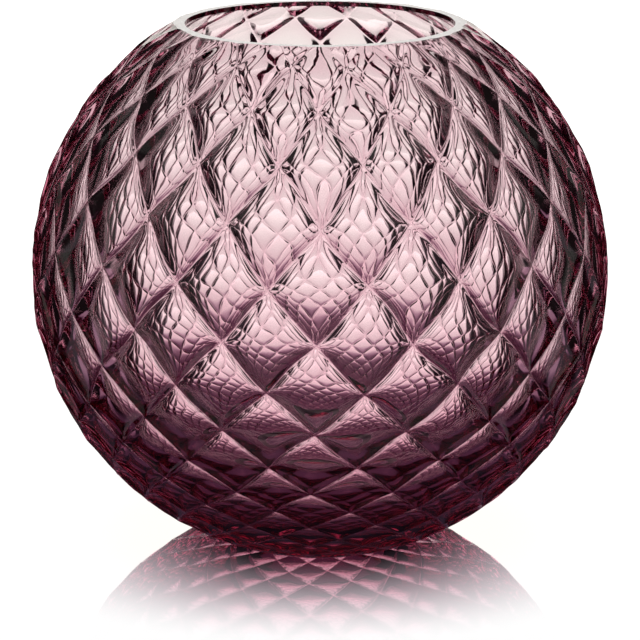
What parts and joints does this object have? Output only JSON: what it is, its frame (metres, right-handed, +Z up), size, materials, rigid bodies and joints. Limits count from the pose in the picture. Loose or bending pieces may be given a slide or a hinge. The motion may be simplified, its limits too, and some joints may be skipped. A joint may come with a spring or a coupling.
{
  "type": "ball vase",
  "caption": "Ball vase of transparent plum glass, with a diamond-optic outer wall, a smooth inside, a flat ground rim and a flat foot.",
  "frame": {"origin": "centre of the foot, on the table", "axes": "+Z up along the ball's axis, -Y towards the front of the picture"},
  "size_m": [0.2, 0.2, 0.1806],
  "materials": {
    "plum_glass": "fire-polished, clear"
  },
  "bodies": {
    "root": {"glass_ball": "plum_glass"}
  },
  "joints": []
}
